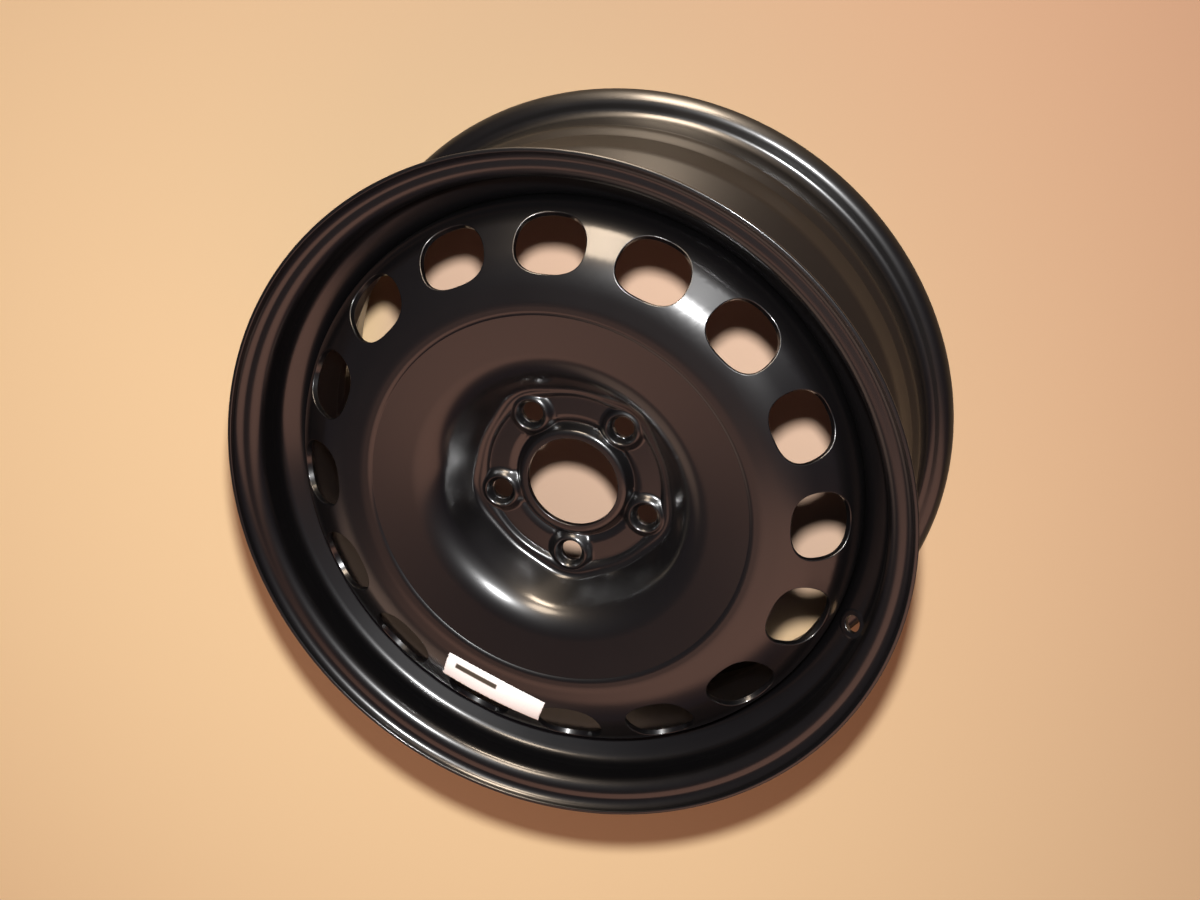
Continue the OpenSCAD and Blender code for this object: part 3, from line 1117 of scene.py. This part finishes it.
class Nodes:
    """A node tree with short calls for adding and joining nodes."""

    def __init__(self, tree: bpy.types.NodeTree) -> None:
        """Takes an empty tree."""
        self.tree = tree
        tree.nodes.clear()

    def add(self, kind: str, **values: object) -> bpy.types.Node:
        """Adds a node and sets its properties, or its inputs where no property has the name.

        Args:
            kind: Node type without its ShaderNode prefix.
            values: Properties by name, and inputs by their name with spaces as underscores.

        Returns:
            The node.
        """
        node = self.tree.nodes.new(kind if kind.startswith("Node") else f"ShaderNode{kind}")
        for name, value in values.items():
            if hasattr(node, name):
                setattr(node, name, value)
            else:
                node.inputs[name.replace("_", " ")].default_value = value
        return node

    def join(self, source: bpy.types.NodeSocket, target: bpy.types.NodeSocket) -> None:
        """Links two sockets."""
        self.tree.links.new(source, target)

    def math(self, operation: str, first: object, second: object = 0.0) -> bpy.types.NodeSocket:
        """Adds a math node on sockets or numbers.

        Args:
            operation: The operation's name.
            first: First socket or number.
            second: Second socket or number.

        Returns:
            The result's socket.
        """
        node = self.add("Math", operation=operation)
        for socket, value in zip(node.inputs, (first, second)):
            if isinstance(value, bpy.types.NodeSocket):
                self.join(value, socket)
            else:
                socket.default_value = value
        return node.outputs[0]

    def ramp(self, value: bpy.types.NodeSocket, ends: Span, to: Span) -> bpy.types.NodeSocket:
        """Maps a value smoothly from one range to another.

        Args:
            value: Socket to map.
            ends: Range of the value.
            to: Range of the result.

        Returns:
            The result's socket.
        """
        node = self.add("MapRange", interpolation_type="SMOOTHSTEP")
        self.join(value, node.inputs["Value"])
        for name, number in zip(("From Min", "From Max", "To Min", "To Max"), (*ends, *to)):
            node.inputs[name].default_value = number
        return node.outputs["Result"]

    def rise(self, value: bpy.types.NodeSocket, ends: Span) -> bpy.types.NodeSocket:
        """A ramp from 0 at the range's low end to 1 at its high end."""
        return self.ramp(value, ends, (0.0, 1.0))

    def fall(self, value: bpy.types.NodeSocket, ends: Span) -> bpy.types.NodeSocket:
        """A ramp from 1 at the range's low end to 0 at its high end."""
        return self.ramp(value, ends, (1.0, 0.0))

    def finish(self, kind: str, shader: bpy.types.NodeSocket) -> None:
        """Joins a shader to a new output node of the given type."""
        self.join(shader, self.add(kind).inputs["Surface"])

    def blend(self, share: bpy.types.NodeSocket, first: object, second: object) -> bpy.types.NodeSocket:
        """Mixes two colours by a share.

        Args:
            share: Socket with the share of the second colour.
            first: First colour or socket.
            second: Second colour or socket.

        Returns:
            The mixed colour's socket.
        """
        node = self.add("Mix", data_type="RGBA")
        self.join(share, node.inputs["Factor"])
        for name, value in (("A", first), ("B", second)):
            socket = next(s for s in node.inputs if s.name == name and s.type == "RGBA")
            if isinstance(value, bpy.types.NodeSocket):
                self.join(value, socket)
            else:
                socket.default_value = (*value, 1.0)
        return next(s for s in node.outputs if s.type == "RGBA")


# Where the paint's noises turn into gloss, specks and settled dust, and how dull a speck is
CLOUD_BAND = (0.3, 0.7)
SPECK_BAND = (0.05, 0.13)
SETTLED_BAND = (0.6, 0.72)
SPECK_DULLNESS = 0.4


def paint_skin_group() -> bpy.types.ShaderNodeTree:
    """Builds the group that varies a dipped paint: peel, cloudy gloss and settled dust.

    Returns:
        The group, with a colour, a roughness and a height that change over the surface.
    """
    tree = bpy.data.node_groups.new("paint_skin", "ShaderNodeTree")
    nodes = Nodes(tree)
    inputs = {
        "Paint": ("NodeSocketColor", (0.01, 0.01, 0.01, 1.0)),
        "Dust": ("NodeSocketColor", (0.2, 0.18, 0.16, 1.0)),
        "Dust amount": ("NodeSocketFloat", 0.3),
        "Gloss low": ("NodeSocketFloat", 0.2),
        "Gloss high": ("NodeSocketFloat", 0.3),
        "Peel size": ("NodeSocketFloat", 260.0),
    }
    for name, (kind, value) in inputs.items():
        tree.interface.new_socket(name, in_out="INPUT", socket_type=kind).default_value = value
    outputs = {"Colour": "NodeSocketColor", "Roughness": "NodeSocketFloat", "Height": "NodeSocketFloat"}
    for name, kind in outputs.items():
        tree.interface.new_socket(name, in_out="OUTPUT", socket_type=kind)
    given = nodes.add("NodeGroupInput").outputs
    result = nodes.add("NodeGroupOutput").inputs
    place = nodes.add("TexCoord").outputs["Object"]

    cloud = nodes.add("TexNoise", Scale=14.0, Detail=4.0, Roughness=0.6)
    nodes.join(place, cloud.inputs["Vector"])
    gloss = nodes.add("MapRange")
    nodes.join(cloud.outputs["Fac"], gloss.inputs["Value"])
    gloss.inputs["From Min"].default_value, gloss.inputs["From Max"].default_value = CLOUD_BAND
    nodes.join(given["Gloss low"], gloss.inputs["To Min"])
    nodes.join(given["Gloss high"], gloss.inputs["To Max"])

    specks = nodes.add("TexVoronoi", Scale=420.0)
    nodes.join(place, specks.inputs["Vector"])
    speck = nodes.fall(specks.outputs["Distance"], SPECK_BAND)
    patches = nodes.add("TexNoise", Scale=60.0, Detail=3.0)
    nodes.join(place, patches.inputs["Vector"])
    settled = nodes.rise(patches.outputs["Fac"], SETTLED_BAND)
    dust = nodes.math("MULTIPLY", nodes.math("MULTIPLY", speck, settled), given["Dust amount"])
    colour = nodes.blend(dust, given["Paint"], given["Dust"])
    nodes.join(colour, result["Colour"])
    rough = nodes.math("ADD", gloss.outputs["Result"], nodes.math("MULTIPLY", dust, SPECK_DULLNESS))
    nodes.join(rough, result["Roughness"])

    peel = nodes.add("TexNoise", Detail=2.0, Roughness=0.45)
    nodes.join(place, peel.inputs["Vector"])
    nodes.join(given["Peel size"], peel.inputs["Scale"])
    nodes.join(peel.outputs["Fac"], result["Height"])
    return tree


@dataclass(frozen=True)
class DippedPaint:
    """Black paint dipped over steel, with orange peel, cloudy gloss and a little dust."""

    name: str
    colour: Triple
    gloss: Span
    coat: float
    coat_roughness: float
    peel_size: float
    peel_depth: float
    dust_amount: float
    dust: Triple = (0.24, 0.2, 0.17)
    peel_strength: float = 0.25
    specular: float = 0.26
    dull_outside: bool = False
    dull_band: Span = (0.5, 0.8)
    dull_coat: float = 0.05
    dull_roughness: float = 0.1

    def material(self, skin: bpy.types.ShaderNodeTree) -> bpy.types.Material:
        """Makes the material.

        Args:
            skin: The shared group of paint effects.

        Returns:
            The material.
        """
        material = bpy.data.materials.new(self.name)
        material.use_nodes = True
        nodes = Nodes(material.node_tree)
        surface = nodes.add("BsdfPrincipled", Coat_Weight=self.coat, Coat_Roughness=self.coat_roughness)
        surface.inputs["Specular IOR Level"].default_value = self.specular
        group = nodes.add("Group", node_tree=skin)
        given = {
            "Paint": (*self.colour, 1.0),
            "Dust": (*self.dust, 1.0),
            "Dust amount": self.dust_amount,
            "Gloss low": self.gloss[0],
            "Gloss high": self.gloss[1],
            "Peel size": self.peel_size,
        }
        for name, value in given.items():
            group.inputs[name].default_value = value
        nodes.join(group.outputs["Colour"], surface.inputs["Base Color"])
        nodes.join(group.outputs["Roughness"], surface.inputs["Roughness"])
        bump = nodes.add("Bump", Strength=self.peel_strength, Distance=self.peel_depth)
        nodes.join(group.outputs["Height"], bump.inputs["Height"])
        nodes.join(bump.outputs["Normal"], surface.inputs["Normal"])
        if self.dull_outside:
            self.dull(nodes, surface, group.outputs["Roughness"])
        nodes.finish("OutputMaterial", surface.outputs["BSDF"])
        return material

    def dull(self, nodes: Nodes, surface: bpy.types.Node, roughness: bpy.types.NodeSocket) -> None:
        """Takes the gloss off faces that look away from the axis, where the tyre sits.

        Args:
            nodes: The material's nodes.
            surface: The paint's shader.
            roughness: The paint's roughness elsewhere.
        """
        way = nodes.add("VectorMath", operation="MULTIPLY")
        way.inputs[1].default_value = (1.0, 1.0, 0.0)
        nodes.join(nodes.add("TexCoord").outputs["Object"], way.inputs[0])
        unit_way = nodes.add("VectorMath", operation="NORMALIZE")
        nodes.join(way.outputs["Vector"], unit_way.inputs[0])
        facing = nodes.add("VectorMath", operation="DOT_PRODUCT")
        nodes.join(unit_way.outputs["Vector"], facing.inputs[0])
        nodes.join(nodes.add("TexCoord").outputs["Normal"], facing.inputs[1])
        coat = nodes.ramp(facing.outputs["Value"], self.dull_band, (self.coat, self.dull_coat))
        nodes.join(coat, surface.inputs["Coat Weight"])
        more = nodes.ramp(facing.outputs["Value"], self.dull_band, (0.0, self.dull_roughness))
        nodes.join(nodes.math("ADD", roughness, more), surface.inputs["Roughness"])


@dataclass(frozen=True)
class LabelPaper:
    """Matt white label paper with one plain dark bar."""

    paper: Triple = (0.86, 0.83, 0.79)
    ink: Triple = (0.045, 0.035, 0.022)
    bar_low: Span = (0.1, 0.56)
    bar_high: Span = (0.53, 0.76)
    bar_soft: Span = (0.008, 0.03)
    fibre_band: Span = (0.2, 0.8)
    fibre_shade: float = 0.93

    def material(self) -> bpy.types.Material:
        """Makes the material: the bar is a soft-edged rectangle in the label's UV map.

        Returns:
            The material.
        """
        material = bpy.data.materials.new("label_stock")
        material.use_nodes = True
        nodes = Nodes(material.node_tree)
        surface = nodes.add("BsdfPrincipled", Roughness=0.75)
        place = nodes.add("UVMap", uv_map="paper").outputs["UV"]
        axes = nodes.add("SeparateXYZ")
        nodes.join(place, axes.inputs["Vector"])
        bands = []
        for axis, low, high, soft in zip(("X", "Y"), self.bar_low, self.bar_high, self.bar_soft):
            rise = nodes.rise(axes.outputs[axis], (low - soft, low + soft))
            fall = nodes.fall(axes.outputs[axis], (high - soft, high + soft))
            bands.append(nodes.math("MULTIPLY", rise, fall))
        inside = nodes.math("MULTIPLY", *bands)
        fibre = nodes.add("TexNoise", Scale=900.0, Detail=5.0)
        nodes.join(nodes.add("TexCoord").outputs["Object"], fibre.inputs["Vector"])
        shade = nodes.rise(fibre.outputs["Fac"], self.fibre_band)
        greyed = tuple(channel * self.fibre_shade for channel in self.paper)
        paper = nodes.blend(shade, greyed, self.paper)
        nodes.join(nodes.blend(inside, paper, self.ink), surface.inputs["Base Color"])
        bump = nodes.add("Bump", Strength=0.2, Distance=0.0002)
        nodes.join(fibre.outputs["Fac"], bump.inputs["Height"])
        nodes.join(bump.outputs["Normal"], surface.inputs["Normal"])
        nodes.finish("OutputMaterial", surface.outputs["BSDF"])
        return material


@dataclass
class Studio:
    """The plain floor, the soft light and the camera."""

    floor_z: float
    floor_size: float = 3.0
    floor_under: Triple = (0.44, 0.3, 0.215)
    # Painted shade: the floor's colour darkens from the bright far colour to this dark one towards +Y and a
    # little +X, where the key lamp lights the floor most. This evens out the lit floor and darkens the floor
    # that the barrel reflects.
    floor_painted_shade: Triple = (0.225, 0.124, 0.076)
    floor_far: Triple = (0.88, 0.67, 0.38)
    painted_shade_way: Triple = (0.35, 1.0, 0.0)
    painted_shade_span: Span = (-1.1, 0.75)
    floor_edge: Span = (0.22, 0.26)
    floor_lines: int = 9
    camera_place: Triple = (0.13439, 0.55331, 0.97776)
    camera_right: Triple = (0.89133, 0.34069, -0.29911)
    camera_up: Triple = (-0.43893, 0.81361, -0.38128)
    camera_back: Triple = (0.11347, 0.47113, 0.87473)
    lens: float = 50.255
    sensor: float = 36.0
    key_rise: float = 0.135
    key_size: float = 0.06
    key_power: float = 30.0
    lamp_way: Triple = (-0.372, 0.724, 0.584)
    lamp_away: float = 1.6
    lamp_size: float = 0.5
    lamp_power: float = 18.0
    lamp_colour: Triple = (1.0, 0.8, 0.6)
    glow_place: Triple = (-0.29, 0.72, 0.06)
    glow_size: Span = (0.26, 0.4)
    glow_power: float = 19.0
    near_floor: Triple = (2.05, 1.08, 0.79)
    left_room: Triple = (0.11, 0.09, 0.1)
    right_room: Triple = (0.075, 0.058, 0.078)
    side_floor: Triple = (1.2, 0.8, 0.62)
    # Where the world's colours change, as cosines to the camera's right, up and back
    room_across: Span = (-0.75, 0.35)
    room_back: Span = (-0.5, 0.1)
    side_start: Span = (-0.55, -0.4)
    side_end: Span = (-0.05, 0.08)
    side_across: Span = (0.35, 0.55)
    side_up: Span = (-0.6, -0.4)
    low_up: Span = (-0.73, -0.665)
    low_back: Span = (0.14, 0.3)

    def add_floor(self) -> None:
        """Adds the floor: a square grid at the wheel's lowest point, which is not part of the object."""
        half = self.floor_size / 2.0
        line = np.linspace(-half, half, self.floor_lines)
        x, y = np.meshgrid(line, line, indexing="ij")
        points = np.stack([x, y, np.full_like(x, self.floor_z)], axis=-1) / MM
        upward = np.broadcast_to([0.0, 0.0, 1.0], points.shape)
        mesh = weld_mesh("floor", [Patch(points, upward)])
        floor = bpy.data.objects.new("floor", mesh)
        bpy.context.scene.collection.objects.link(floor)
        material = bpy.data.materials.new("pale_floor")
        material.use_nodes = True
        nodes = Nodes(material.node_tree)
        surface = nodes.add("BsdfPrincipled", Roughness=0.9)
        surface.inputs["Specular IOR Level"].default_value = 0.1
        place = nodes.add("TexCoord").outputs["Object"]
        away = nodes.add("VectorMath", operation="LENGTH")
        along = nodes.add("VectorMath", operation="DOT_PRODUCT")
        along.inputs[1].default_value = self.painted_shade_way
        nodes.join(place, away.inputs[0])
        nodes.join(place, along.inputs[0])
        # Painted shade: the floor's colour grows darker towards +Y, where the key lamp lights it most. Under
        # the wheel the floor keeps one plain colour.
        fade = nodes.fall(along.outputs["Value"], self.painted_shade_span)
        outer = nodes.blend(fade, self.floor_painted_shade, self.floor_far)
        colour = nodes.blend(nodes.rise(away.outputs["Value"], self.floor_edge), self.floor_under, outer)
        nodes.join(colour, surface.inputs["Base Color"])
        nodes.finish("OutputMaterial", surface.outputs["BSDF"])
        mesh.materials.append(material)

    def add_camera(self) -> None:
        """Adds the camera at the photograph's viewing angle."""
        camera = bpy.data.cameras.new("camera")
        camera.sensor_fit = "HORIZONTAL"
        camera.sensor_width = self.sensor
        camera.lens = self.lens
        camera.clip_start = 0.01
        holder = bpy.data.objects.new("camera", camera)
        axes = [Vector(v) for v in (self.camera_right, self.camera_up, self.camera_back)]
        turn = Matrix([[axis[row] for axis in axes] for row in range(3)]).to_4x4()
        holder.matrix_world = Matrix.Translation(self.camera_place) @ turn
        bpy.context.scene.collection.objects.link(holder)
        bpy.context.scene.camera = holder

    def add_lamp(
        self, name: str, place: Vector, size: float, power: float,
        colour: Triple = (1.0, 1.0, 1.0), gloss_only: bool = False,
    ) -> bpy.types.AreaLight:
        """Adds a round area lamp that faces the wheel's middle.

        Args:
            name: Name of the lamp.
            place: Where the lamp hangs.
            size: Its diameter in metres.
            power: Its power in watts.
            colour: Its colour.
            gloss_only: Whether it shows in gloss alone, as a card does.

        Returns:
            The lamp.
        """
        lamp = bpy.data.lights.new(name, "AREA")
        lamp.shape = "DISK"
        lamp.size = size
        lamp.energy = power
        lamp.color = colour
        holder = bpy.data.objects.new(name, lamp)
        holder.location = place
        holder.rotation_euler = place.to_track_quat("Z", "Y").to_euler()
        holder.visible_diffuse = not gloss_only
        bpy.context.scene.collection.objects.link(holder)
        return lamp

    def add_light(self) -> None:
        """Adds the key lamp above the camera, and a warm lamp and a warm strip that show in gloss alone."""
        key = Vector(self.camera_place) + Vector(self.camera_up) * self.key_rise
        self.add_lamp("key", key, self.key_size, self.key_power)
        lamp = Vector(self.lamp_way) * self.lamp_away
        self.add_lamp("lamp", lamp, self.lamp_size, self.lamp_power, self.lamp_colour, gloss_only=True)
        width, height = self.glow_size
        place = Vector(self.glow_place)
        glow = self.add_lamp("glow", place, width, self.glow_power, self.lamp_colour, gloss_only=True)
        glow.shape = "RECTANGLE"
        glow.size_y = height

    def add_world(self) -> None:
        """Adds the soft world: a dim room, lit floor on both sides and bright warm floor on the near side.

        The camera's own axes, held as plain values, say which way is across, up and back.
        """
        world = bpy.data.worlds.new("studio")
        bpy.context.scene.world = world
        world.use_nodes = True
        nodes = Nodes(world.node_tree)
        way = nodes.add("TexCoord").outputs["Generated"]
        parts = []
        for axis in (self.camera_right, self.camera_up, self.camera_back):
            part = nodes.add("VectorMath", operation="DOT_PRODUCT")
            nodes.join(way, part.inputs[0])
            part.inputs[1].default_value = axis
            parts.append(part.outputs["Value"])
        across, upward, backward = parts
        room = nodes.blend(nodes.rise(across, self.room_across), self.left_room, self.right_room)
        room = nodes.blend(nodes.rise(backward, self.room_back), self.right_room, room)
        side = nodes.rise(backward, self.side_start)
        for limit in (
            nodes.fall(backward, self.side_end),
            nodes.rise(nodes.math("ABSOLUTE", across), self.side_across),
            nodes.fall(upward, self.side_up),
        ):
            side = nodes.math("MULTIPLY", side, limit)
        room = nodes.blend(side, room, self.side_floor)
        low = nodes.math("MULTIPLY", nodes.fall(upward, self.low_up), nodes.rise(backward, self.low_back))
        room = nodes.blend(low, room, self.near_floor)
        background = nodes.add("Background")
        nodes.join(room, background.inputs["Color"])
        nodes.finish("OutputWorld", background.outputs["Background"])


def main() -> None:
    """Builds the wheel's pieces in order, dresses them and sets up the studio."""
    logging.basicConfig(level=logging.INFO, format="%(name)s %(message)s")
    studio = Studio(floor_z=CAD_BOX[0][2])
    studio.add_camera()
    studio.add_floor()
    studio.add_light()
    studio.add_world()
    bpy.context.scene.view_settings.view_transform = "Standard"

    skin = paint_skin_group()
    paint = DippedPaint(
        name="dipped_black", colour=(0.0015, 0.0013, 0.0015), gloss=(0.33, 0.37), coat=0.62,
        coat_roughness=0.18, peel_size=300.0, peel_depth=0.00001, dust_amount=0.1,
    )
    rim_paint = replace(paint, name="rim_black", dull_outside=True)
    weld_paint = DippedPaint(
        name="weld_black", colour=(0.014, 0.013, 0.013), gloss=(0.38, 0.5), coat=0.1,
        coat_roughness=0.3, peel_size=500.0, peel_depth=0.0008, dust_amount=0.4,
    )
    disc = PressedDisc()
    RolledRim().dress(rim_paint.material(skin))
    disc.dress(paint.material(skin))
    WeldBeads().dress(weld_paint.material(skin))
    PaperLabel(disc).dress(LabelPaper().material())


if __name__ == "__main__":
    main()
